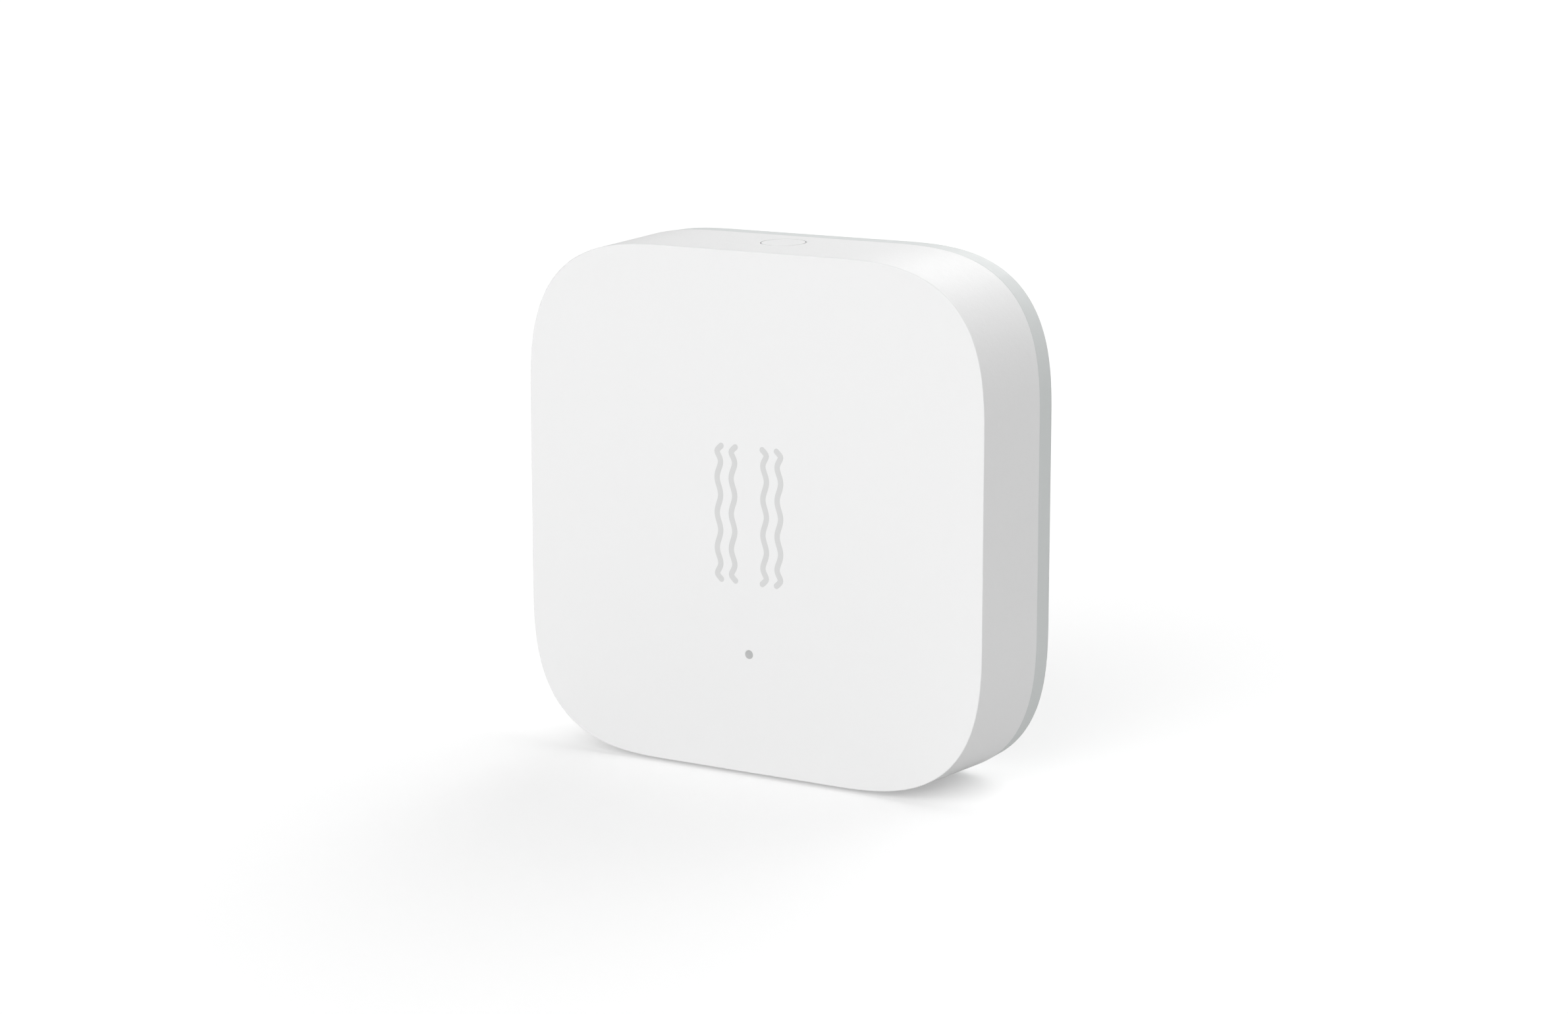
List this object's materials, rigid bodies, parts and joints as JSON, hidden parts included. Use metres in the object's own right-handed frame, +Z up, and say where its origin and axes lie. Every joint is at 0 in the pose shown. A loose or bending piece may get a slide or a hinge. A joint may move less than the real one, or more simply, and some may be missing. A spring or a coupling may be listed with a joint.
{
  "type": "wireless vibration sensor",
  "caption": "Small square wireless vibration sensor: drafted white shell with wavy lines, status light, top button, grey rear cover with bayonet battery door and adhesive pad.",
  "frame": {"origin": "middle of the overall box, at the level that the case stands on", "axes": "+Z up, front face towards -Y, +X to the right as seen from the front"},
  "size_m": [0.044, 0.0116, 0.044],
  "materials": {
    "white_shell": "fine matt moulded texture",
    "mark_ink": "flat light grey inlay",
    "light_guide": "frosted translucent plastic",
    "grey_shell": "fine matt moulded texture",
    "foam_tape": "dull foam with an adhesive skin",
    "grey_door": "fine matt moulded texture",
    "dark_foam": "open-cell foam",
    "black_plastic": "matt moulded",
    "cell_steel": "nickel-plated steel",
    "seal_plastic": "smooth moulded",
    "cell_filling": "pressed powder",
    "contact_plating": "nickel-plated spring bronze",
    "board_laminate": "green solder mask",
    "chip_epoxy": "dull moulded epoxy",
    "tinned_steel": "tin-plated sheet steel",
    "led_resin": "clear yellowish resin",
    "copper_foil": "etched copper",
    "gold_plating": "thin gold plating",
    "ceramic_body": "fired ceramic",
    "amber_body": "moulded body",
    "pale_plastic": "smooth moulded",
    "screw_steel": "zinc-plated steel"
  },
  "bodies": {
    "case": {"front_shell": "white_shell", "wave_marks": "mark_ink", "light_pipe": "light_guide", "rear_housing": "grey_shell", "adhesive_pad": "foam_tape", "battery_cradle": "black_plastic", "cell_can": "cell_steel", "cell_cap": "cell_steel", "cell_seal": "seal_plastic", "cell_core": "cell_filling", "contact_positive": "contact_plating", "contact_negative": "contact_plating", "main_board": "board_laminate", "radio_chip": "chip_epoxy", "shield_can": "tinned_steel", "crystal": "tinned_steel", "memory_chip": "chip_epoxy", "motion_sensor": "chip_epoxy", "status_led": "led_resin", "antenna_trace": "copper_foil", "test_pads": "gold_plating", "capacitors": "ceramic_body", "resistors": "chip_epoxy", "reservoir_capacitor": "amber_body", "switch_base": "black_plastic", "switch_cover": "tinned_steel", "switch_dome": "tinned_steel", "switch_terminals": "contact_plating", "board_screws": "screw_steel"},
    "button": {"button_cap": "white_shell"},
    "plunger": {"switch_plunger": "pale_plastic"},
    "door": {"battery_door": "grey_door", "door_cushion": "dark_foam"}
  },
  "joints": [
    {"name": "button_press", "type": "slide", "parent": "case", "child": "button", "axis": [0, 0, -1], "range_m": [0, 0.00025], "stiffness_N_per_m": 6400, "springref_m": -0.00005, "deforming": ["switch_dome"]},
    {"name": "plunger_travel", "type": "slide", "parent": "case", "child": "plunger", "axis": [0, 0, -1], "range_m": [0, 0.00025]},
    {"name": "battery_door_twist", "type": "hinge", "parent": "case", "child": "door", "pos_m": [0, 0.0045, 0.022], "axis": [0, 1, 0], "range_deg": [0, 40]}
  ],
  "couplings": [
    {"joint": "plunger_travel", "follows": "button_press", "ratio": 1}
  ]
}
